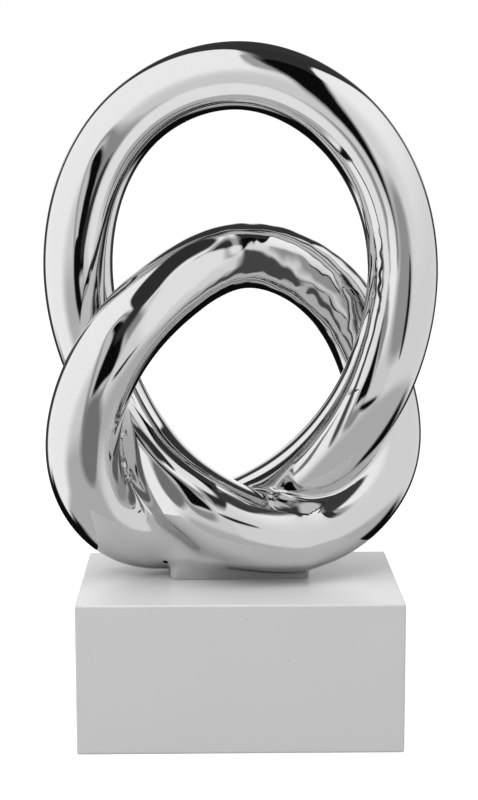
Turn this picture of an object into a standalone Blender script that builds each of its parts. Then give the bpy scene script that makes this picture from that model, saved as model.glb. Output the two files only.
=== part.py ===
"""Knot sculpture: one bright tube tied into a closed three-crossing knot, on a plain block plinth.

The tube closes on itself as a big ring above and a smaller ring looped through it. Where its
strands run together low down they are cast into each other, and a short foot block under them
seats the knot on the plinth. Metres, +Z up; the origin is the middle of the plinth's underside,
and the sculpture is seen from -Y.
"""

import math

import bmesh
import bpy
import numpy as np
from mathutils import Vector

# Plinth: a block with lightly softened edges
PLINTH_WIDTH = 0.186
PLINTH_DEPTH = 0.124
PLINTH_HEIGHT = 0.087
PLINTH_EDGE = 0.0012

# Knot: its full height over the plinth's top, and how far its tube hangs clear of the plinth
KNOT_HEIGHT = 0.3135
TUBE_CLEARANCE = 0.0015

# Foot: the block cast under the lower crossing, standing a hair clear of the plinth
FOOT_LENGTH = 0.083
FOOT_DEPTH = 0.024
FOOT_CORNER = 0.0055
FOOT_SETBACK = 0.006
SEAT_GAP = 0.0003

# Vent: the small blind hole that the casting was drained through, beside the foot's left end
VENT_DIAMETER = 0.0028
VENT_DEPTH = 0.006
VENT_FROM_FOOT = 0.0022
VENT_ANGLE = math.radians(35)

# Fineness of the faceted solids
TUBE_RINGS = 160
TUBE_BEVEL_RESOLUTION = 8
CORNER_SEGMENTS = 5
VENT_SIDES = 16

# The path of the tube's centre, across, back and up, and then the tube's radius, all as shares of
# the knot's size, so that strands cast into each other stay so in a knot of another height. It is
# listed in the order that a finger would follow it, from the top of the big ring.
RING_TOP = (0.002, 0.000, 0.939, 0.0631)
CROSSING_BEHIND = (-0.015, 0.080, 0.098, 0.0709)
CROSSING_IN_FRONT = (-0.064, -0.042, 0.145, 0.0703)
PATH = [
    RING_TOP,
    (0.188, 0.003, 0.860, 0.0663),  # big ring, upper right
    (0.299, -0.026, 0.632, 0.0650),  # right leg
    (0.270, -0.058, 0.420, 0.0657),  # right crossing, in front
    (0.165, 0.000, 0.232, 0.0683),  # right leg, turning in
    CROSSING_BEHIND,
    (-0.203, 0.026, 0.089, 0.0709),  # lower left corner
    (-0.281, -0.029, 0.192, 0.0703),  # left arc, low
    (-0.279, -0.061, 0.332, 0.0690),  # left arc, middle
    (-0.220, -0.064, 0.456, 0.0677),  # left crossing, in front
    (-0.124, -0.035, 0.553, 0.0657),  # small ring, upper left
    (0.007, 0.006, 0.611, 0.0624),  # small ring, top
    (0.155, 0.042, 0.555, 0.0631),  # small ring, upper right
    (0.253, 0.067, 0.407, 0.0644),  # right crossing, behind
    (0.271, 0.038, 0.209, 0.0696),  # lower right
    (0.130, -0.006, 0.089, 0.0723),  # bottom
    CROSSING_IN_FRONT,
    (-0.174, 0.013, 0.242, 0.0624),  # rising to the left
    (-0.269, 0.064, 0.408, 0.0650),  # left crossing, behind
    (-0.298, 0.026, 0.619, 0.0650),  # left leg
    (-0.188, 0.000, 0.866, 0.0624),  # big ring, upper left
]


def clear_scene():
    for item in list(bpy.data.objects):
        bpy.data.objects.remove(item, do_unlink=True)


def make_collection(name):
    collection = bpy.data.collections.new(name)
    bpy.context.scene.collection.children.link(collection)
    return collection


def make_material(name, colour, roughness, metallic):
    material = bpy.data.materials.new(name)
    material.use_nodes = True
    shader = material.node_tree.nodes["Principled BSDF"]
    shader.inputs["Base Color"].default_value = (*colour, 1.0)
    shader.inputs["Roughness"].default_value = roughness
    shader.inputs["Metallic"].default_value = metallic
    return material


def closed_curve(stations, count):
    """Points evenly spread along the closed smooth cubic curve through the stations."""
    stations = np.array(stations)
    ahead = np.roll(stations, -1, axis=0) - stations
    span = np.linalg.norm(ahead[:, :3], axis=1)
    slope = ahead / span[:, None]
    number = len(stations)
    system = np.zeros((number, number))
    for i in range(number):
        system[i, i - 1] = span[i - 1]
        system[i, i] = 2 * (span[i - 1] + span[i])
        system[i, (i + 1) % number] = span[i]
    bend = np.linalg.solve(system, 6 * (slope - np.roll(slope, 1, axis=0)))
    starts = np.concatenate(([0.0], np.cumsum(span)))
    points = []
    for along in starts[-1] * np.arange(count) / count:
        i = int(np.searchsorted(starts, along, side="right")) - 1
        j = (i + 1) % number
        done = along - starts[i]
        left = span[i] - done
        cubic = (bend[i] * left**3 + bend[j] * done**3) / (6 * span[i])
        straight = (stations[i] * left + stations[j] * done) / span[i]
        points.append(cubic + straight - span[i] * (bend[i] * left + bend[j] * done) / 6)
    return np.array(points)


def tube_path():
    """The tube's centre and radius along its path, its size and its lift over the plinth's top."""
    path = closed_curve(PATH, TUBE_RINGS)
    top = (path[:, 2] + path[:, 3]).max()
    bottom = (path[:, 2] - path[:, 3]).min()
    size = (KNOT_HEIGHT - TUBE_CLEARANCE) / (top - bottom)
    lift = TUBE_CLEARANCE - bottom * size
    centres = path[:, :3] * size
    centres[:, 2] += PLINTH_HEIGHT + lift
    return centres, path[:, 3] * size, size, lift


def make_tube(centres, radius, collection):
    """The knot's tube, swept round its closed path and turned into a mesh."""
    curve = bpy.data.curves.new("tube_path", "CURVE")
    curve.dimensions = "3D"
    curve.bevel_depth = radius.max()
    curve.bevel_resolution = TUBE_BEVEL_RESOLUTION
    spline = curve.splines.new("POLY")
    spline.points.add(len(centres) - 1)
    spline.use_cyclic_u = True
    for point, centre, thickness in zip(spline.points, centres, radius):
        point.co = (*centre, 1.0)
        point.radius = thickness / radius.max()
    guide = bpy.data.objects.new("tube_path", curve)
    collection.objects.link(guide)
    depsgraph = bpy.context.evaluated_depsgraph_get()
    mesh = bpy.data.meshes.new_from_object(guide.evaluated_get(depsgraph))
    tube = bpy.data.objects.new("knot", mesh)
    tube.matrix_world = guide.matrix_world
    collection.objects.link(tube)
    bpy.data.objects.remove(guide, do_unlink=True)
    shape = bmesh.new()
    shape.from_mesh(mesh)
    bmesh.ops.remove_doubles(shape, verts=shape.verts, dist=0.00001)
    bmesh.ops.recalc_face_normals(shape, faces=shape.faces)
    shape.to_mesh(mesh)
    shape.free()
    return tube


def make_box(name, collection, size, centre, upright_corner=0.0):
    """A box, its four upright edges rounded if a corner radius is given."""
    mesh = bpy.data.meshes.new(name)
    shape = bmesh.new()
    bmesh.ops.create_cube(shape, size=1.0)
    bmesh.ops.scale(shape, vec=size, verts=shape.verts)
    if upright_corner:
        upright = [e for e in shape.edges if abs(e.verts[0].co.z - e.verts[1].co.z) > size[2] / 2]
        bmesh.ops.bevel(
            shape,
            geom=upright,
            offset=upright_corner,
            segments=CORNER_SEGMENTS,
            profile=0.5,
            affect="EDGES",
        )
    shape.to_mesh(mesh)
    shape.free()
    box = bpy.data.objects.new(name, mesh)
    box.location = centre
    collection.objects.link(box)
    return box


def as_cutter(item):
    item.hide_render = True
    item.display_type = "WIRE"


def add_boolean(item, other, operation):
    boolean = item.modifiers.new(other.name, "BOOLEAN")
    boolean.object = other
    boolean.operation = operation
    boolean.solver = "EXACT"
    boolean.use_self = True


def make_foot(lift, size, cutters):
    """The foot block, from just over the plinth up into the crossing's middle."""
    underside = PLINTH_HEIGHT + SEAT_GAP
    crossing = (CROSSING_BEHIND[2] + CROSSING_IN_FRONT[2]) / 2 * size + lift + PLINTH_HEIGHT
    foot = make_box(
        "foot",
        cutters,
        (FOOT_LENGTH, FOOT_DEPTH, crossing - underside),
        (0.0, FOOT_SETBACK, (crossing + underside) / 2),
        FOOT_CORNER,
    )
    as_cutter(foot)
    return foot


def make_vent(centres, radius, size, lift, cutters):
    """The vent's drill, square to the tube's skin beside the foot, at its front and below."""
    across = -FOOT_LENGTH / 2 - VENT_FROM_FOOT
    down = Vector((0.0, -math.cos(VENT_ANGLE), -math.sin(VENT_ANGLE)))
    crossing = PLINTH_HEIGHT + lift + CROSSING_IN_FRONT[2] * size
    spots = []
    for i, centre in enumerate(centres):
        if centre[1] < 0.0 or centre[2] > crossing:
            continue
        tangent = (Vector(centres[(i + 1) % len(centres)]) - Vector(centres[i - 1])).normalized()
        outward = (down - down.dot(tangent) * tangent).normalized()
        skin = Vector(centre) + outward * radius[i]
        spots.append((abs(skin.x - across), skin, outward))
    miss, skin, outward = min(spots, key=lambda spot: spot[0])
    mesh = bpy.data.meshes.new("vent")
    shape = bmesh.new()
    bmesh.ops.create_cone(
        shape,
        cap_ends=True,
        segments=VENT_SIDES,
        radius1=VENT_DIAMETER / 2,
        radius2=VENT_DIAMETER / 2,
        depth=2 * VENT_DEPTH,
    )
    shape.to_mesh(mesh)
    shape.free()
    vent = bpy.data.objects.new("vent", mesh)
    vent.location = skin
    vent.rotation_mode = "QUATERNION"
    vent.rotation_quaternion = outward.to_track_quat("Z", "Y")
    cutters.objects.link(vent)
    as_cutter(vent)
    return vent


def make_knot(parts, cutters):
    centres, radius, size, lift = tube_path()
    knot = make_tube(centres, radius, parts)
    add_boolean(knot, make_foot(lift, size, cutters), "UNION")
    add_boolean(knot, make_vent(centres, radius, size, lift, cutters), "DIFFERENCE")
    knot.data.materials.append(make_material("bright_chrome_plate", (0.86, 0.86, 0.87), 0.05, 1.0))
    knot.data.shade_smooth()
    knot.data.set_sharp_from_angle(angle=math.radians(35))
    return knot


def make_plinth(parts):
    plinth = make_box(
        "plinth",
        parts,
        (PLINTH_WIDTH, PLINTH_DEPTH, PLINTH_HEIGHT),
        (0.0, 0.0, PLINTH_HEIGHT / 2),
    )
    edges = plinth.modifiers.new("softened_edges", "BEVEL")
    edges.width = PLINTH_EDGE
    edges.segments = 3
    edges.limit_method = "ANGLE"
    plinth.data.materials.append(make_material("matt_pale_lacquer", (0.62, 0.61, 0.60), 0.55, 0.0))
    plinth.data.shade_smooth()
    plinth.data.set_sharp_from_angle(angle=math.radians(35))
    return plinth


clear_scene()
sculpture = make_collection("knot_sculpture")
cutting = make_collection("cutters")
make_plinth(sculpture)
make_knot(sculpture, cutting)
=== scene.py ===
"""The looks of a chromed knot sculpture on its lacquered plinth.

Metres, +Z up, the camera looking along +Y. The sections follow the object from the ground up:
the plinth, the knot, and then the studio that shows them.
"""

import math

import bmesh
import bpy
import numpy as np
from mathutils import Euler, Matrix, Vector


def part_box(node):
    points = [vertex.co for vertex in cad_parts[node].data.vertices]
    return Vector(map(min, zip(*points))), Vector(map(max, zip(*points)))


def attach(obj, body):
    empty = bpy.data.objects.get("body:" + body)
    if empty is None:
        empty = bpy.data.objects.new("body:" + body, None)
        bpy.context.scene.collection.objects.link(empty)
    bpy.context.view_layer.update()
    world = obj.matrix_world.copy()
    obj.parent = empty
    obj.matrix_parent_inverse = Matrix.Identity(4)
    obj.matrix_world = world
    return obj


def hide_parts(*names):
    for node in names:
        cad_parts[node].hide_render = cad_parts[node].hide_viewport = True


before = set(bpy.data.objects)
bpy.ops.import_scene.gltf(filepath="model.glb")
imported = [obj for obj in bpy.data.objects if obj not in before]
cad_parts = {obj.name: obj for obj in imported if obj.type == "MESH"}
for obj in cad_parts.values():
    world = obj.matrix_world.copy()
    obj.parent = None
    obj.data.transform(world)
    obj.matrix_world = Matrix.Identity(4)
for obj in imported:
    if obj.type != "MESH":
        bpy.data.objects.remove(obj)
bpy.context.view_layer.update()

# The plinth
# A solid block of fine board under a sprayed coat of matt lacquer, its edges eased with fine
# paper before the last coat. The knot's foot stands on it, a little behind its middle.
PLINTH_EDGE = 0.0012
PLINTH_EDGE_STEPS = 6
ROUND_PROFILE = 0.5
FACE_WEIGHT = 100

# The lacquer: its peel is about a millimetre across and some hundredths of one high, and its tone
# changes slowly over 45 mm
LACQUER_PEEL = 0.0011
LACQUER_PEEL_RISE = 0.00003
LACQUER_PEEL_STRENGTH = 0.25
LACQUER_CLOUD = 0.045
LACQUER_ROUGHNESS = (0.36, 0.42)

# Two specks of grit in the lacquer on the front, each by its place across and up, and the share of
# their radius that is full tone
SPECK_RADIUS = 0.00045
SPECK_CORE = 0.6
SPECKS = ((0.0035, 0.079), (0.0270, 0.0545))

plinth_low, plinth_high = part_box("plinth")


def linear(colour):
    """An sRGB hex colour as linear red, green, blue and alpha."""
    shares = [int(colour[i : i + 2], 16) / 255 for i in (0, 2, 4)]
    return [s / 12.92 if s <= 0.04045 else ((s + 0.055) / 1.055) ** 2.4 for s in shares] + [1.0]


def add(tree, kind, values=None, links=None, **settings):
    """Adds one node with its settings, its sockets' values and the links into it."""
    item = tree.nodes.new(kind)
    for name, value in settings.items():
        setattr(item, name, value)
    for socket, value in (values or {}).items():
        item.inputs[socket].default_value = value
    for socket, source in (links or {}).items():
        tree.links.new(source, item.inputs[socket])
    return item


def new_material(name):
    """An empty node material and its tree."""
    material = bpy.data.materials.new(name)
    material.use_nodes = True
    material.node_tree.nodes.clear()
    return material, material.node_tree


def link_object(name, mesh):
    """Puts a mesh into the scene as an object."""
    item = bpy.data.objects.new(name, mesh)
    bpy.context.scene.collection.objects.link(item)
    return item


def sprayed_matt_lacquer():
    """Sprayed matt lacquer: an even pale grey with a dull broad sheen, and a peel that only shows
    from close by."""
    material, tree = new_material("sprayed_matt_lacquer")
    place = add(tree, "ShaderNodeTexCoord")
    cloud = add(
        tree,
        "ShaderNodeTexNoise",
        {"Scale": 1 / LACQUER_CLOUD, "Detail": 2.0, "Roughness": 0.5},
        {"Vector": place.outputs["Object"]},
    )
    tint = add(
        tree,
        "ShaderNodeMix",
        {6: linear("C8C8C8"), 7: linear("CCCCCC")},
        {"Factor": cloud.outputs["Fac"]},
        data_type="RGBA",
    )
    colour = tint.outputs[2]
    for across, up in SPECKS:
        offset = add(
            tree,
            "ShaderNodeVectorMath",
            {1: (across, plinth_low.y, up)},
            {0: place.outputs["Object"]},
            operation="DISTANCE",
        )
        inside = add(
            tree,
            "ShaderNodeMapRange",
            {"From Min": SPECK_RADIUS, "From Max": SPECK_RADIUS * SPECK_CORE},
            {"Value": offset.outputs["Value"]},
        )
        speck = add(
            tree,
            "ShaderNodeMix",
            {7: linear("A2A2A2")},
            {"Factor": inside.outputs["Result"], 6: colour},
            data_type="RGBA",
        )
        colour = speck.outputs[2]
    peel = add(
        tree,
        "ShaderNodeTexNoise",
        {"Scale": 1 / LACQUER_PEEL, "Detail": 1.0},
        {"Vector": place.outputs["Object"]},
    )
    bump = add(
        tree,
        "ShaderNodeBump",
        {"Strength": LACQUER_PEEL_STRENGTH, "Distance": LACQUER_PEEL_RISE},
        {"Height": peel.outputs["Fac"]},
    )
    sheen = add(
        tree,
        "ShaderNodeMapRange",
        {"To Min": LACQUER_ROUGHNESS[0], "To Max": LACQUER_ROUGHNESS[1]},
        {"Value": cloud.outputs["Fac"]},
    )
    shader = add(
        tree,
        "ShaderNodeBsdfPrincipled",
        {"IOR": 1.5},
        {
            "Base Color": colour,
            "Roughness": sheen.outputs["Result"],
            "Normal": bump.outputs["Normal"],
        },
    )
    add(tree, "ShaderNodeOutputMaterial", None, {"Surface": shader.outputs["BSDF"]})
    return material


def plinth_block():
    """The plinth's block, with every edge eased."""
    mesh = bpy.data.meshes.new("plinth_block")
    shape = bmesh.new()
    bmesh.ops.create_cube(shape, size=1.0)
    bmesh.ops.scale(shape, vec=plinth_high - plinth_low, verts=shape.verts)
    bmesh.ops.translate(shape, vec=(plinth_high + plinth_low) / 2, verts=shape.verts)
    bmesh.ops.bevel(
        shape,
        geom=shape.edges,
        offset=PLINTH_EDGE,
        segments=PLINTH_EDGE_STEPS,
        profile=ROUND_PROFILE,
        affect="EDGES",
    )
    shape.to_mesh(mesh)
    shape.free()
    mesh.shade_smooth()
    block = link_object("lacquered_plinth", mesh)
    flat = block.modifiers.new("flat_faces", "WEIGHTED_NORMAL")
    flat.weight = FACE_WEIGHT
    return block


plinth = plinth_block()
plinth.data.materials.append(sprayed_matt_lacquer())
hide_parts("plinth")
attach(plinth, "root")

# The knot
# One hollow casting, ground and polished all over and then chrome plated: a tube tied into a
# closed knot, its strands run together low down, with a foot block under them that stands on the
# plinth.

# How far the tube hangs over the plinth's top, and how far its skin lies inside the frame's knot
TUBE_CLEARANCE = 0.0015
SKIN = 0.0001

# The foot block, and how its front leans forward: by FOOT_FLARE, growing between two heights and,
# from its left end, between two places across
FOOT_LENGTH = 0.083
FOOT_DEPTH = 0.024
FOOT_CORNER = 0.0055
FOOT_SETBACK = 0.006
FOOT_FLARE = 0.012
FOOT_FLARES = (0.087, 0.102)
FOOT_FLARE_STARTS = (-0.0415, -0.016)

# The vent, a blind hole beside the foot's left end that the casting was drained through
VENT_DIAMETER = 0.0028
VENT_DEPTH = 0.006
VENT_FROM_FOOT = 0.0022
VENT_ANGLE = math.radians(31)
VENT_SIDES = 32

# The fillets between strands: low ones, thinner ones further up, and none over the last height.
# They are wider by CORNER_FILLET in the lower left corner.
LOW_FILLET = 0.011
HIGH_FILLET = 0.005
CORNER_FILLET = 0.016
CORNER_FILLET_GROWS = (-0.012, -0.046)
FILLET_THINS = (0.125, 0.150)
FILLET_ENDS = (0.195, 0.225)

# The fillet between the foot and the strands, small at the heel and wider up the foot
HEEL_FILLET = 0.003
FOOT_FILLET = 0.018
FOOT_FILLET_GROWS = (0.089, 0.101)

# The mesh: its cell, how many cells its foot is left too long before it is cut, how many a pass
# moves a vertex at most, how much each pass evens the vertices, and the turn from which an edge is
# left sharp
CELL = 0.00155
FOOT_CELLS = 3
PASS_CELLS = 2
EVENING = (0.0, 0.0, 0.5, 0.5, 0.5, 0.0)
SHARP_TURN = math.radians(40)
VERTICES_AT_ONCE = 8000

# The fineness of the path, and of the plain tube that the mesh starts from
PATH_SAMPLES = 1600
GUIDE_RINGS = 400
GUIDE_SIDES = 32

# The tube's centre, across, back and up, and the tube's radius, as shares of the knot's size. The
# stations follow each other from the top of the big ring.
RING_TOP = (0.002, 0.000, 0.939, 0.0631)
CROSSING_BEHIND = (-0.015, 0.080, 0.098, 0.0709)
SMALL_RING_TOP = (0.007, 0.006, 0.611, 0.0624)
CROSSING_IN_FRONT = (-0.064, -0.042, 0.145, 0.0703)
PATH = [
    RING_TOP,
    (0.188, 0.003, 0.860, 0.0663),  # big ring, upper right
    (0.299, -0.026, 0.632, 0.0650),  # right leg
    (0.270, -0.058, 0.420, 0.0657),  # right crossing, in front
    (0.165, 0.000, 0.232, 0.0683),  # right leg, turning in
    CROSSING_BEHIND,
    (-0.203, 0.026, 0.089, 0.0709),  # lower left corner
    (-0.281, -0.029, 0.192, 0.0703),  # left arc, low
    (-0.279, -0.061, 0.332, 0.0690),  # left arc, middle
    (-0.220, -0.064, 0.456, 0.0677),  # left crossing, in front
    (-0.124, -0.035, 0.553, 0.0657),  # small ring, upper left
    SMALL_RING_TOP,
    (0.155, 0.042, 0.555, 0.0631),  # small ring, upper right
    (0.253, 0.067, 0.407, 0.0644),  # right crossing, behind
    (0.271, 0.038, 0.209, 0.0696),  # lower right
    (0.130, -0.006, 0.089, 0.0723),  # bottom
    CROSSING_IN_FRONT,
    (-0.174, 0.013, 0.242, 0.0624),  # rising to the left
    (-0.269, 0.064, 0.408, 0.0650),  # left crossing, behind
    (-0.298, 0.026, 0.619, 0.0650),  # left leg
    (-0.188, 0.000, 0.866, 0.0624),  # big ring, upper left
]

knot_low, knot_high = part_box("knot")


def closed_curve(stations, count):
    """Points evenly spread along the closed smooth cubic curve through the stations."""
    stations = np.array(stations)
    ahead = np.roll(stations, -1, axis=0) - stations
    span = np.linalg.norm(ahead[:, :3], axis=1)
    slope = ahead / span[:, None]
    number = len(stations)
    system = np.zeros((number, number))
    for i in range(number):
        system[i, i - 1] = span[i - 1]
        system[i, i] = 2 * (span[i - 1] + span[i])
        system[i, (i + 1) % number] = span[i]
    bend = np.linalg.solve(system, 6 * (slope - np.roll(slope, 1, axis=0)))
    starts = np.concatenate(([0.0], np.cumsum(span)))
    points = []
    for along in starts[-1] * np.arange(count) / count:
        i = int(np.searchsorted(starts, along, side="right")) - 1
        j = (i + 1) % number
        done = along - starts[i]
        left = span[i] - done
        cubic = (bend[i] * left**3 + bend[j] * done**3) / (6 * span[i])
        straight = (stations[i] * left + stations[j] * done) / span[i]
        points.append(cubic + straight - span[i] * (bend[i] * left + bend[j] * done) / 6)
    return np.array(points)


def tube_path(count):
    """The tube's centre and radius along its path, in metres, fitted to the knot's own height."""
    path = closed_curve(PATH, count)
    top = (path[:, 2] + path[:, 3]).max()
    bottom = (path[:, 2] - path[:, 3]).min()
    size = (knot_high.z - plinth_high.z - TUBE_CLEARANCE) / (top - bottom)
    centres = path[:, :3] * size
    centres[:, 2] += plinth_high.z + TUBE_CLEARANCE - bottom * size
    return centres, path[:, 3] * size - SKIN, size


path_centres, path_radius, knot_size = tube_path(PATH_SAMPLES)
path_ahead = np.roll(path_centres, -1, axis=0)
path_behind = np.roll(path_centres, 1, axis=0)
path_step = (path_ahead - path_behind) / 2
path_bend = path_ahead - 2 * path_centres + path_behind
path_taper = (np.roll(path_radius, -1) - np.roll(path_radius, 1)) / 2

# The foot reaches up into the lower crossing's middle, and the path is split in two strands at the
# top of each ring, so that the fillets know one strand from the other
crossing = (CROSSING_BEHIND[2] + CROSSING_IN_FRONT[2]) / 2
foot_top = path_centres[0, 2] + (crossing - RING_TOP[2]) * knot_size
small_ring_top = path_centres[0] + (np.array(SMALL_RING_TOP[:3]) - RING_TOP[:3]) * knot_size
strand_split = int(np.linalg.norm(path_centres - small_ring_top, axis=1).argmin())


def strand_field(points, first, last):
    """How far points are from a strand's skin, and which way is out."""
    centres = path_centres[first:last].astype(np.float32)
    squares = (centres**2).sum(axis=1) - 2 * points.astype(np.float32) @ centres.T
    i = first + squares.argmin(axis=1)
    offset = points - path_centres[i]
    step = path_step[i]
    bend = path_bend[i]
    move = (offset * step).sum(axis=1) / ((step**2).sum(axis=1) - (offset * bend).sum(axis=1))
    move = np.clip(move, -1.0, 1.0)
    foot = path_centres[i] + step * move[:, None] + bend * (move**2 / 2)[:, None]
    out = points - foot
    length = np.linalg.norm(out, axis=1)
    tangent = step + bend * move[:, None]
    taper = path_taper[i] / (tangent**2).sum(axis=1)
    way = out / length[:, None] - tangent * taper[:, None]
    return length - (path_radius[i] + path_taper[i] * move), way


def eased(value, start, end):
    """A share that eases from 0 to 1 between two values, and its slope."""
    share = np.clip((value - start) / (end - start), 0.0, 1.0)
    return share**2 * (3 - 2 * share), 6 * share * (1 - share) / (end - start)


def foot_field(points):
    """How far points are from the foot block, whose front flares upward, and which way is out."""
    rise, rise_slope = eased(points[:, 2], *FOOT_FLARES)
    start, start_slope = eased(points[:, 0], *FOOT_FLARE_STARTS)
    place = points - (0.0, FOOT_SETBACK, 0.0)
    leant = np.minimum(place[:, 1] + rise * start * FOOT_FLARE, 0.0)
    place[:, 1] = np.where(place[:, 1] < 0, leant, place[:, 1])
    reach = np.abs(place[:, :2]) - (FOOT_LENGTH / 2 - FOOT_CORNER, FOOT_DEPTH / 2 - FOOT_CORNER)
    past = np.maximum(reach, 0.0)
    beyond = np.linalg.norm(past, axis=1)
    distance = beyond + np.minimum(reach.max(axis=1), 0.0) - FOOT_CORNER
    side = np.where(beyond[:, None] > 0, past, reach == reach.max(axis=1)[:, None])
    side = side * np.sign(place[:, :2])
    way = np.zeros_like(points)
    way[:, :2] = side / np.maximum(np.linalg.norm(side, axis=1), 1e-12)[:, None]
    forward = np.minimum(way[:, 1], 0.0) * FOOT_FLARE
    way[:, 0] += forward * rise * start_slope
    way[:, 2] = forward * rise_slope * start
    above = points[:, 2] - foot_top
    over = above > distance
    return np.where(over, above, distance), np.where(over[:, None], (0.0, 0.0, 1.0), way)


def blended(one, other, fillet, slope):
    """Two fields joined with a fillet between their skins, its size changing with place."""
    nearer = one[0] < other[0]
    near = np.where(nearer, one[0], other[0])
    near_way = np.where(nearer[:, None], one[1], other[1])
    far_way = np.where(nearer[:, None], other[1], one[1])
    share = np.clip(1 - np.abs(one[0] - other[0]) / np.maximum(fillet, 1e-9), 0.0, 1.0)
    value = near - fillet * share**3 / 6
    growth = share**3 / 6 + share**2 * (1 - share) / 2
    turn = (share**2 / 2)[:, None]
    way = near_way * (1 - turn) + far_way * turn
    way -= growth[:, None] * slope
    return value, way


def knot_field(points):
    """How far points are from the whole casting's skin, and which way is out."""
    down = strand_field(points, 0, strand_split + 1)
    back = strand_field(points, strand_split, PATH_SAMPLES)
    thin, thin_slope = eased(points[:, 2], *FILLET_THINS)
    end, end_slope = eased(points[:, 2], *FILLET_ENDS)
    corner, corner_slope = eased(points[:, 0], *CORNER_FILLET_GROWS)
    low = LOW_FILLET + CORNER_FILLET * corner
    full = low + (HIGH_FILLET - low) * thin
    slope = np.zeros_like(points)
    slope[:, 0] = CORNER_FILLET * corner_slope * (1 - thin) * (1 - end)
    slope[:, 2] = (HIGH_FILLET - low) * thin_slope * (1 - end) - full * end_slope
    tube = blended(down, back, full * (1 - end), slope)
    wide, wide_slope = eased(points[:, 2], *FOOT_FILLET_GROWS)
    growth = FOOT_FILLET - HEEL_FILLET
    slope = wide_slope[:, None] * (0.0, 0.0, growth)
    return blended(tube, foot_field(points), HEEL_FILLET + growth * wide, slope)


def in_batches(points):
    """The whole casting's field at many points."""
    values = []
    ways = []
    for start in range(0, len(points), VERTICES_AT_ONCE):
        value, way = knot_field(points[start : start + VERTICES_AT_ONCE])
        values.append(value)
        ways.append(way)
    return np.concatenate(values), np.concatenate(ways)


def guide_mesh():
    """A plain tube along the path with the foot pushed into it, to start the skin from."""
    centres, radius = tube_path(GUIDE_RINGS)[:2]
    ahead = np.roll(centres, -1, axis=0) - np.roll(centres, 1, axis=0)
    ahead /= np.linalg.norm(ahead, axis=1)[:, None]
    turn = 2 * math.pi * np.arange(GUIDE_SIDES) / GUIDE_SIDES
    side = np.array((0.0, 1.0, 0.0))
    shape = bmesh.new()
    rings = []
    for centre, thick, way in zip(centres, radius, ahead):
        side = side - way * side.dot(way)
        side /= np.linalg.norm(side)
        up = np.cross(way, side)
        ring = [centre + thick * (math.cos(a) * side + math.sin(a) * up) for a in turn]
        rings.append([shape.verts.new(spot) for spot in ring])
    first = min(range(GUIDE_SIDES), key=lambda k: (rings[0][k].co - rings[-1][0].co).length)
    for i, ring in enumerate(rings):
        following = rings[(i + 1) % GUIDE_RINGS]
        shift = first if i == GUIDE_RINGS - 1 else 0
        for k in range(GUIDE_SIDES):
            j = (k + 1) % GUIDE_SIDES
            beside = following[(j + shift) % GUIDE_SIDES], following[(k + shift) % GUIDE_SIDES]
            shape.faces.new((ring[k], ring[j], *beside))
    foot_low = plinth_high.z - FOOT_CELLS * CELL
    block = bmesh.ops.create_cube(shape, size=1.0)["verts"]
    bmesh.ops.scale(shape, vec=(FOOT_LENGTH, FOOT_DEPTH, foot_top - foot_low), verts=block)
    bmesh.ops.translate(shape, vec=(0.0, FOOT_SETBACK, (foot_top + foot_low) / 2), verts=block)
    bmesh.ops.recalc_face_normals(shape, faces=shape.faces)
    mesh = bpy.data.meshes.new("knot_guide")
    shape.to_mesh(mesh)
    shape.free()
    return mesh


def skinned(mesh):
    """An even skin over the guide, drawn onto the casting's true surface."""
    guide = link_object("knot_guide", mesh)
    skin = guide.modifiers.new("skin", "REMESH")
    skin.mode = "VOXEL"
    skin.voxel_size = CELL
    depsgraph = bpy.context.evaluated_depsgraph_get()
    surface = bpy.data.meshes.new_from_object(guide.evaluated_get(depsgraph))
    bpy.data.objects.remove(guide, do_unlink=True)
    points = np.empty(len(surface.vertices) * 3, dtype=np.float32)
    surface.vertices.foreach_get("co", points)
    points = points.reshape(-1, 3).astype(float)
    edges = np.empty(len(surface.edges) * 2, dtype=np.int32)
    surface.edges.foreach_get("vertices", edges)
    edges = edges.reshape(-1, 2)
    count = np.bincount(edges.ravel(), minlength=len(points))[:, None]
    most = PASS_CELLS * CELL
    for evening in EVENING:
        if evening:
            middle = np.zeros_like(points)
            np.add.at(middle, edges[:, 0], points[edges[:, 1]])
            np.add.at(middle, edges[:, 1], points[edges[:, 0]])
            points += (middle / count - points) * evening
        value, way = in_batches(points)
        kept = points[:, 2] > plinth_high.z - most
        move = (value / (way**2).sum(axis=1))[:, None] * way
        points -= np.clip(move, -most, most) * kept[:, None]
    surface.vertices.foreach_set("co", points.astype(np.float32).ravel())
    surface.update()
    return surface


def vent_drill():
    """The drill that leaves the vent, square to the tube's skin beside the foot."""
    across = -FOOT_LENGTH / 2 - VENT_FROM_FOOT
    down = np.array((0.0, -math.cos(VENT_ANGLE), -math.sin(VENT_ANGLE)))
    spots = []
    for i in np.flatnonzero((path_centres[:, 1] > 0) & (path_centres[:, 2] < foot_top)):
        tangent = path_step[i] / np.linalg.norm(path_step[i])
        outward = down - down.dot(tangent) * tangent
        outward /= np.linalg.norm(outward)
        spot = path_centres[i] + outward * path_radius[i]
        spots.append((abs(spot[0] - across), Vector(spot), Vector(outward)))
    spot, outward = min(spots, key=lambda item: item[0])[1:]
    mesh = bpy.data.meshes.new("vent")
    shape = bmesh.new()
    bmesh.ops.create_cone(
        shape,
        cap_ends=True,
        segments=VENT_SIDES,
        radius1=VENT_DIAMETER / 2,
        radius2=VENT_DIAMETER / 2,
        depth=2 * VENT_DEPTH,
    )
    shape.to_mesh(mesh)
    shape.free()
    drill = link_object("vent", mesh)
    drill.location = spot
    drill.rotation_mode = "QUATERNION"
    drill.rotation_quaternion = outward.to_track_quat("Z", "Y")
    return drill


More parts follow.
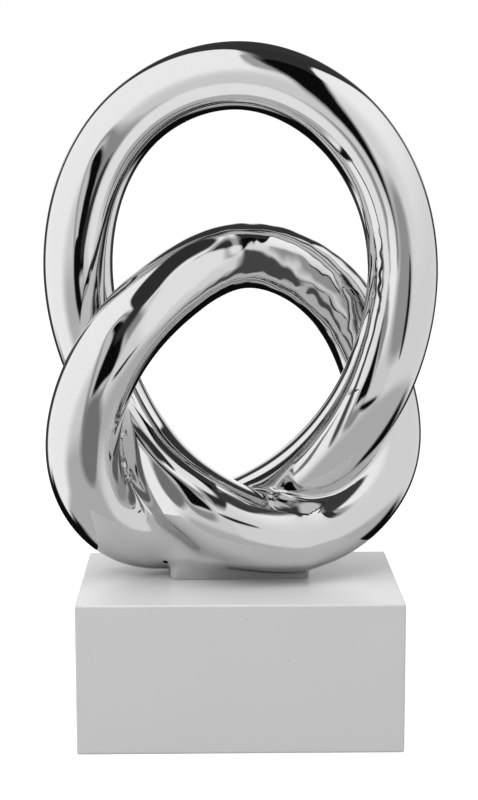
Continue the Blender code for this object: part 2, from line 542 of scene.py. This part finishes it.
def finished_casting(surface):
    """The skin, its foot cut flat, its vent drilled, and its shading that of the true surface."""
    shape = bmesh.new()
    shape.from_mesh(surface)
    cut = bmesh.ops.bisect_plane(
        shape,
        geom=[*shape.verts, *shape.edges, *shape.faces],
        plane_co=(0.0, 0.0, knot_low.z),
        plane_no=(0.0, 0.0, 1.0),
        clear_inner=True,
    )
    rim = [item for item in cut["geom_cut"] if isinstance(item, bmesh.types.BMEdge)]
    bmesh.ops.contextual_create(shape, geom=rim)
    shape.to_mesh(surface)
    shape.free()
    casting = link_object("chromed_knot", surface)
    drill = vent_drill()
    hole = casting.modifiers.new("vent", "BOOLEAN")
    hole.object = drill
    hole.operation = "DIFFERENCE"
    hole.solver = "EXACT"
    depsgraph = bpy.context.evaluated_depsgraph_get()
    mesh = bpy.data.meshes.new_from_object(casting.evaluated_get(depsgraph))
    casting.modifiers.clear()
    casting.data = mesh
    bpy.data.objects.remove(drill, do_unlink=True)
    mesh.shade_smooth()
    points = np.empty(len(mesh.vertices) * 3, dtype=np.float32)
    mesh.vertices.foreach_get("co", points)
    way = in_batches(points.reshape(-1, 3).astype(float))[1]
    way /= np.linalg.norm(way, axis=1)[:, None]
    corner = np.empty(len(mesh.loops), dtype=np.int32)
    mesh.loops.foreach_get("vertex_index", corner)
    total = np.empty(len(mesh.polygons), dtype=np.int32)
    mesh.polygons.foreach_get("loop_total", total)
    face = np.empty(len(mesh.polygons) * 3, dtype=np.float32)
    mesh.polygons.foreach_get("normal", face)
    face = np.repeat(face.reshape(-1, 3), total, axis=0)
    true = way[corner]
    own = (face * true).sum(axis=1) < math.cos(SHARP_TURN)
    normals = np.where(own[:, None], face, true)
    mesh.normals_split_custom_set(normals.tolist())
    return casting


# The chrome: its swell is 19 mm long, fullest at one spot, and fades between two distances from it
# to a small share. The rise is drawn steeper than real polishing leaves, so that it shows. The
# haze changes over 6 mm.
SWELL = 0.019
SWELL_RISE = 0.0026
UNEVEN_SPOT = (0.032, -0.012, 0.262)
UNEVEN_REACH = (0.032, 0.066)
EVEN_SWELL = 0.04
CHROME_HAZE = 0.006
CHROME_ROUGHNESS = (0.02, 0.07)


def polished_chrome_plate():
    """Polished chrome plate: a clear mirror with a faint haze, and the slow swell that hand
    polishing leaves, plainest along the small ring's top, where it wrings the reflections."""
    material, tree = new_material("polished_chrome_plate")
    place = add(tree, "ShaderNodeTexCoord")
    swell = add(
        tree,
        "ShaderNodeTexNoise",
        {"Scale": 1 / SWELL, "Detail": 1.0, "Roughness": 0.4},
        {"Vector": place.outputs["Object"]},
    )
    offset = add(
        tree,
        "ShaderNodeVectorMath",
        {1: UNEVEN_SPOT},
        {0: place.outputs["Object"]},
        operation="DISTANCE",
    )
    uneven = add(
        tree,
        "ShaderNodeMapRange",
        {
            "From Min": UNEVEN_REACH[0],
            "From Max": UNEVEN_REACH[1],
            "To Min": 1.0,
            "To Max": EVEN_SWELL,
        },
        {"Value": offset.outputs["Value"]},
        interpolation_type="SMOOTHSTEP",
    )
    rise = add(
        tree,
        "ShaderNodeMath",
        None,
        {0: swell.outputs["Fac"], 1: uneven.outputs["Result"]},
        operation="MULTIPLY",
    )
    bump = add(
        tree,
        "ShaderNodeBump",
        {"Strength": 1.0, "Distance": SWELL_RISE},
        {"Height": rise.outputs[0]},
    )
    haze = add(
        tree,
        "ShaderNodeTexNoise",
        {"Scale": 1 / CHROME_HAZE, "Detail": 3.0},
        {"Vector": place.outputs["Object"]},
    )
    polish = add(
        tree,
        "ShaderNodeMapRange",
        {"To Min": CHROME_ROUGHNESS[0], "To Max": CHROME_ROUGHNESS[1]},
        {"Value": haze.outputs["Fac"]},
    )
    shader = add(
        tree,
        "ShaderNodeBsdfPrincipled",
        {"Base Color": linear("CBCBCB"), "Metallic": 1.0},
        {"Roughness": polish.outputs["Result"], "Normal": bump.outputs["Normal"]},
    )
    add(tree, "ShaderNodeOutputMaterial", None, {"Surface": shader.outputs["BSDF"]})
    return material


knot = finished_casting(skinned(guide_mesh()))
knot.data.materials.clear()
knot.data.materials.append(polished_chrome_plate())
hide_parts("knot")
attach(knot, "root")

# The floor
# A plain sheet of matt white paper under the plinth, which is no part of the object. It glows a
# little for the camera alone, so that it stays even and pale, and the chrome doesn't mirror it.
FLOOR_SIZE = 6.0
FLOOR_DROP = 0.0002
FLOOR_GLOW = 0.75

floor_mesh = bpy.data.meshes.new("floor")
shape = bmesh.new()
bmesh.ops.create_grid(shape, x_segments=1, y_segments=1, size=FLOOR_SIZE / 2)
shape.to_mesh(floor_mesh)
shape.free()
floor = link_object("floor", floor_mesh)
floor.location.z = plinth_low.z - FLOOR_DROP
floor_paper, tree = new_material("matt_white_paper")
paint = add(tree, "ShaderNodeBsdfDiffuse", {"Color": linear("BCBCBC")})
glow = add(tree, "ShaderNodeEmission", {"Color": linear("FFFFFF")})
seen = add(tree, "ShaderNodeLightPath")
lift = add(
    tree,
    "ShaderNodeMath",
    {1: FLOOR_GLOW},
    {0: seen.outputs["Is Camera Ray"]},
    operation="MULTIPLY",
)
tree.links.new(lift.outputs[0], glow.inputs["Strength"])
both = add(tree, "ShaderNodeAddShader", None, {0: paint.outputs[0], 1: glow.outputs[0]})
add(tree, "ShaderNodeOutputMaterial", None, {"Surface": both.outputs[0]})
floor_mesh.materials.append(floor_paper)
floor.visible_glossy = False

# The studio
# Large soft panels round the sculpture, laid over each other by compass direction and height for
# what its mirror sees, and one even soft light for what is matt. 0 degrees is the camera's side,
# and 90 is to the camera's right.
STUDIO_POWER = 1.5
EVEN_POWER = 0.70

# The arched top of the right panels: how steeply it falls off behind one bearing and in front of
# another, and the heights on a wall at the right between which it fades in
ARCH_BACK_FROM = 90.0
ARCH_BACK_FALL = 0.020
ARCH_FRONT_FROM = 70.0
ARCH_FRONT_FALL = 0.010
ARCH_TOP = (1.95, 1.8)

# How far the raked panel's edge runs round the compass for each degree that it rises
RAKE = -0.67

world = bpy.data.worlds.new("studio")
bpy.context.scene.world = world
world.use_nodes = True
tree = world.node_tree
tree.nodes.clear()
sight = add(tree, "ShaderNodeTexCoord")
parts = add(tree, "ShaderNodeSeparateXYZ", None, {0: sight.outputs["Generated"]})
across, back, up = parts.outputs
toward = add(tree, "ShaderNodeMath", {1: -1.0}, {0: back}, operation="MULTIPLY").outputs[0]
turned = add(tree, "ShaderNodeMath", None, {0: across, 1: toward}, operation="ARCTAN2").outputs[0]
compass = add(tree, "ShaderNodeMath", None, {0: turned}, operation="DEGREES").outputs[0]
away = add(tree, "ShaderNodeMath", None, {0: compass}, operation="ABSOLUTE").outputs[0]
raised = add(tree, "ShaderNodeMath", None, {0: up}, operation="ARCSINE").outputs[0]
height = add(tree, "ShaderNodeMath", None, {0: raised}, operation="DEGREES").outputs[0]
rake = add(tree, "ShaderNodeMath", {1: RAKE}, {0: height, 2: compass}, operation="MULTIPLY_ADD")
rake = rake.outputs[0]
wall = add(tree, "ShaderNodeMath", None, {0: up, 1: across}, operation="DIVIDE").outputs[0]
past = add(tree, "ShaderNodeMath", {1: ARCH_BACK_FROM}, {0: compass}, operation="SUBTRACT")
past = add(tree, "ShaderNodeMath", {1: 0.0}, {0: past.outputs[0]}, operation="MAXIMUM")
short = add(tree, "ShaderNodeMath", {0: ARCH_FRONT_FROM}, {1: compass}, operation="SUBTRACT")
short = add(tree, "ShaderNodeMath", {1: 0.0}, {0: short.outputs[0]}, operation="MAXIMUM")
arch = add(
    tree,
    "ShaderNodeMath",
    {1: ARCH_BACK_FALL},
    {0: past.outputs[0], 2: wall},
    operation="MULTIPLY_ADD",
)
arch = add(
    tree,
    "ShaderNodeMath",
    {1: ARCH_FRONT_FALL},
    {0: short.outputs[0], 2: arch.outputs[0]},
    operation="MULTIPLY_ADD",
).outputs[0]


def panel(behind, tone, *edges):
    """Lays a panel over what is behind it. An edge is a coordinate and the two values between
    which the panel fades in."""
    cover = None
    for coordinate, start, end in edges:
        edge = add(
            tree,
            "ShaderNodeMapRange",
            {"From Min": start, "From Max": end},
            {"Value": coordinate},
            interpolation_type="SMOOTHSTEP",
        ).outputs["Result"]
        if cover is None:
            cover = edge
        else:
            cover = add(tree, "ShaderNodeMath", None, {0: cover, 1: edge}, operation="MULTIPLY")
            cover = cover.outputs[0]
    laid = add(
        tree,
        "ShaderNodeMix",
        {7: linear(tone)},
        {"Factor": cover, 6: behind},
        data_type="RGBA",
    )
    return laid.outputs[2]


# Pale grey walls, then the panels from the furthest to the nearest
walls = add(tree, "ShaderNodeRGB")
walls.outputs[0].default_value = linear("B0B0B0")
room = walls.outputs[0]
room = panel(room, "D0D0D0", (away, 95, 70), (height, -34, -20))
room = panel(room, "343434", (away, 120, 138), (height, -32, -18))
room = panel(room, "0C0C0C", (away, 95, 112), (height, -14, -22), (height, -64, -54))
room = panel(room, "EEEEEE", (away, 75, 40), (height, -5, 30))
room = panel(room, "303030", (compass, 2, 14), (height, 14, 34))
room = panel(room, "343434", (away, 120, 138), (height, 20, 40))
room = panel(room, "F2F2F2", (compass, -137, -130), (rake, -18, -50), (height, -50, -42))
room = panel(room, "0C0C0C", (compass, -116, -124), (height, -18, -25), (height, -60, -50))
room = panel(room, "F3F3F3", (compass, -137, -130), (compass, 8, 4), (height, 8, 30))
slot_sides = (compass, 4, 7), (compass, 15, 11)
room = panel(room, "A2A2A2", *slot_sides, (height, 24, 34), (height, 72, 64))
arched = arch, *ARCH_TOP
room = panel(room, "D8D8D8", (compass, 8, 16), (compass, 142, 132), arched, (height, -34, -24))
room = panel(room, "F6F6F6", (compass, 10, 60), (compass, 140, 128), arched, (height, 6, 45))
room = panel(room, "F0F0F0", (away, 146, 162), (height, 2, 8), (height, 36, 26))
room = panel(room, "FFFFFF", (away, 168, 173), (height, -14, -9), (height, 30, 20))
seen = add(tree, "ShaderNodeLightPath")
mirrored = add(tree, "ShaderNodeBackground", {"Strength": STUDIO_POWER}, {"Color": room})
even = add(tree, "ShaderNodeBackground", {"Color": linear("FFFFFF"), "Strength": EVEN_POWER})
backdrop = add(tree, "ShaderNodeBackground", {"Color": linear("FFFFFF"), "Strength": 1.0})
lighting = add(
    tree,
    "ShaderNodeMixShader",
    None,
    {0: seen.outputs["Is Glossy Ray"], 1: even.outputs[0], 2: mirrored.outputs[0]},
)
either = add(
    tree,
    "ShaderNodeMixShader",
    None,
    {0: seen.outputs["Is Camera Ray"], 1: lighting.outputs[0], 2: backdrop.outputs[0]},
)
add(tree, "ShaderNodeOutputWorld", None, {"Surface": either.outputs[0]})
bpy.context.scene.view_settings.view_transform = "Standard"

# The lamp
# One wide softbox high in front and to the left, for the plinth's top and the soft shadow there.
# The chrome doesn't mirror it: the studio's panels stand for what it sees.
LAMP_SIZE = 1.4
LAMP_PLACE = Vector((-0.42, -0.55, 1.45))
LAMP_POWER = 20.0

lamp = bpy.data.objects.new("lamp", bpy.data.lights.new("lamp", "AREA"))
bpy.context.scene.collection.objects.link(lamp)
lamp.location = LAMP_PLACE
lamp_aim = Vector((0.0, 0.0, plinth_high.z)) - LAMP_PLACE
lamp.rotation_euler = lamp_aim.to_track_quat("-Z", "Y").to_euler()
lamp.data.size = LAMP_SIZE
lamp.data.energy = LAMP_POWER
lamp.visible_glossy = False
lamp.visible_camera = False

# The flags
# Cards hung close to the knot that glow in one flat tone and that only its mirror sees: painted
# reflections, which draw the lines down its tubes. They light nothing and cast no shadow. Flags
# stand upright in front of it, shelves lie level over a part of it, and trays lie level under one.
# Each has a tone, a distance or height, the width of its soft edge, and an outline with cut
# corners.
CARD_ROUNDINGS = 3
CARD_CUT = 0.25


def show_to_mirror(name, tone, corners, soft, place):
    """Hangs a card that only the knot's mirror sees, and only from the knot's side."""
    corners = [Vector(corner) for corner in corners]
    for rounding in range(CARD_ROUNDINGS):
        cut = []
        for i, corner in enumerate(corners):
            following = corners[(i + 1) % len(corners)]
            cut += [corner.lerp(following, CARD_CUT), corner.lerp(following, 1 - CARD_CUT)]
        corners = cut
    following = corners[1:] + corners[:1]
    turn = sum(one.x * other.y - other.x * one.y for one, other in zip(corners, following))
    if turn < 0:
        corners.reverse()
    shape = bmesh.new()
    cover = shape.verts.layers.float.new("cover")
    inner = []
    outer = []
    for i, corner in enumerate(corners):
        along = (corners[(i + 1) % len(corners)] - corners[i - 1]).normalized()
        out = Vector((along.y, -along.x)) * soft / 2
        inner.append(shape.verts.new(place(*(corner - out))))
        outer.append(shape.verts.new(place(*(corner + out))))
        inner[-1][cover] = 1.0
    shape.faces.new(inner)
    for i in range(len(corners)):
        shape.faces.new((inner[i], inner[i - 1], outer[i - 1], outer[i]))
    bmesh.ops.triangulate(shape, faces=shape.faces)
    mesh = bpy.data.meshes.new(name)
    shape.to_mesh(mesh)
    shape.free()
    # A painted reflection: a glow of one flat tone, clear at its soft edge and from the card's
    # other side
    reflection_glow, tree = new_material(name + "_reflection_glow")
    share = add(tree, "ShaderNodeAttribute", attribute_name="cover")
    side = add(tree, "ShaderNodeNewGeometry")
    shown = add(
        tree,
        "ShaderNodeMath",
        None,
        {0: share.outputs["Fac"], 1: side.outputs["Backfacing"]},
        operation="MULTIPLY",
    )
    glow = add(tree, "ShaderNodeEmission", {"Color": linear(tone), "Strength": STUDIO_POWER})
    clear = add(tree, "ShaderNodeBsdfTransparent")
    laid = add(
        tree,
        "ShaderNodeMixShader",
        None,
        {0: shown.outputs[0], 1: clear.outputs[0], 2: glow.outputs[0]},
    )
    add(tree, "ShaderNodeOutputMaterial", None, {"Surface": laid.outputs[0]})
    mesh.materials.append(reflection_glow)
    card = link_object(name, mesh)
    card.visible_camera = False
    card.visible_diffuse = False
    card.visible_shadow = False


def flag(name, tone, front, soft, outline):
    """A card that hangs upright in front of the knot."""
    show_to_mirror(name, tone, outline, soft, lambda across, up: (across, -front, up))


def shelf(name, tone, up, soft, outline):
    """A card that lies level over a part of the knot and shows from below."""
    show_to_mirror(name, tone, outline, soft, lambda across, back: (across, back, up))


def tray(name, tone, up, soft, outline):
    """A card that lies level under a part of the knot and shows from above."""
    turned = [(back, across) for across, back in outline]
    show_to_mirror(name, tone, turned, soft, lambda back, across: (across, back, up))


# Each card below is a painted reflection: its tone glows in the chrome alone.
flag(
    "flag_left_black",
    "080808",
    0.190,
    0.010,
    [
        (-0.098, 0.158), (-0.106, 0.222), (-0.112, 0.272), (-0.130, 0.306), (-0.172, 0.346),
        (-0.148, 0.366), (-0.094, 0.322), (-0.062, 0.284), (-0.044, 0.242), (-0.016, 0.196),
        (-0.010, 0.160), (-0.050, 0.166), (-0.072, 0.158),
    ],
)
flag(
    "flag_left_pale",
    "C4C4C4",
    0.192,
    0.014,
    [
        (-0.104, 0.140), (-0.128, 0.215), (-0.150, 0.262), (-0.184, 0.325), (-0.192, 0.365),
        (-0.150, 0.385), (-0.095, 0.320), (-0.050, 0.262), (0.000, 0.205), (0.000, 0.145),
    ],
)
flag(
    "flag_left_grey",
    "8C8C8C",
    0.194,
    0.020,
    [
        (-0.112, 0.090), (-0.140, 0.200), (-0.165, 0.255), (-0.200, 0.330), (-0.206, 0.385),
        (-0.150, 0.405), (-0.080, 0.345), (0.000, 0.290), (-0.010, 0.240), (-0.006, 0.090),
    ],
)
flag(
    "flag_ring",
    "464646",
    0.044,
    0.006,
    [
        (0.012, 0.294), (0.030, 0.290), (0.043, 0.262), (0.045, 0.225), (0.042, 0.175),
        (0.026, 0.150), (0.026, 0.215), (0.020, 0.258),
    ],
)
flag(
    "flag_arc_grey",
    "747474",
    0.060,
    0.009,
    [
        (-0.090, 0.194), (-0.074, 0.200), (-0.064, 0.182), (-0.050, 0.160), (-0.044, 0.138),
        (-0.068, 0.118), (-0.094, 0.142),
    ],
)
flag(
    "flag_arc_black",
    "303030",
    0.080,
    0.008,
    [
        (-0.074, 0.236), (-0.056, 0.250), (-0.047, 0.305), (-0.060, 0.322), (-0.070, 0.290),
        (-0.080, 0.250),
    ],
)
flag(
    "flag_middle_white",
    "E8E8E8",
    0.081,
    0.012,
    [
        (-0.040, 0.345), (-0.042, 0.250), (-0.022, 0.222), (0.000, 0.205), (0.022, 0.205),
        (0.026, 0.300), (0.020, 0.345),
    ],
)
flag(
    "flag_low_black",
    "0A0A0A",
    0.148,
    0.008,
    [(-0.012, 0.160), (0.084, 0.154), (0.080, 0.140), (0.020, 0.138)],
)
flag(
    "flag_right_bar",
    "0C0C0C",
    0.083,
    0.004,
    [(0.110, 0.212), (0.109, 0.300), (0.119, 0.300), (0.119, 0.212)],
)
flag(
    "flag_right_grey",
    "949494",
    0.085,
    0.018,
    [
        (0.072, 0.216), (0.071, 0.300), (0.084, 0.340), (0.116, 0.338), (0.122, 0.290),
        (0.119, 0.216),
    ],
)
flag(
    "flag_shoulder",
    "0A0A0A",
    0.147,
    0.012,
    [
        (0.034, 0.312), (0.054, 0.400), (0.050, 0.660), (0.220, 0.660), (0.112, 0.450),
        (0.070, 0.330),
    ],
)
shelf(
    "shelf_ring",
    "2E2E2E",
    0.300,
    0.004,
    [
        (-0.090, -0.066), (-0.070, -0.120), (-0.052, -0.120), (-0.045, -0.090), (-0.043, -0.060),
        (-0.034, -0.040), (-0.016, -0.030), (-0.010, -0.014), (-0.046, -0.012), (-0.084, -0.044),
    ],
)
shelf(
    "shelf_valley",
    "3A3A3A",
    0.205,
    0.012,
    [
        (0.018, -0.036), (0.014, -0.075), (0.050, -0.100), (0.085, -0.095), (0.080, -0.034),
    ],
)
tray(
    "tray_left_leg",
    "0A0A0A",
    0.225,
    0.006,
    [
        (-0.097, -0.030), (-0.110, -0.084), (-0.129, -0.185), (-0.084, -0.185), (-0.083, -0.084),
        (-0.080, -0.030),
    ],
)

# The camera
# It stands a metre off, a little lower than the sculpture's top, and looks slightly down. Its
# lens is given in pixels of a picture 800 high.
CAMERA_PLACE = (-0.0154, -0.9846, 0.3466)
CAMERA_DOWN = math.radians(8.83)
CAMERA_TURN = math.radians(-0.92)
CAMERA_ROLL = math.radians(0.08)
CAMERA_NEAR = 0.01
PICTURE_HEIGHT = 800
FOCAL_PIXELS = 1700

camera = bpy.data.objects.new("camera", bpy.data.cameras.new("camera"))
bpy.context.scene.collection.objects.link(camera)
camera.location = CAMERA_PLACE
camera.rotation_euler = Euler((math.pi / 2 - CAMERA_DOWN, CAMERA_ROLL, CAMERA_TURN), "XYZ")
camera.data.lens = camera.data.sensor_width * FOCAL_PIXELS / PICTURE_HEIGHT
camera.data.clip_start = CAMERA_NEAR
bpy.context.scene.camera = camera
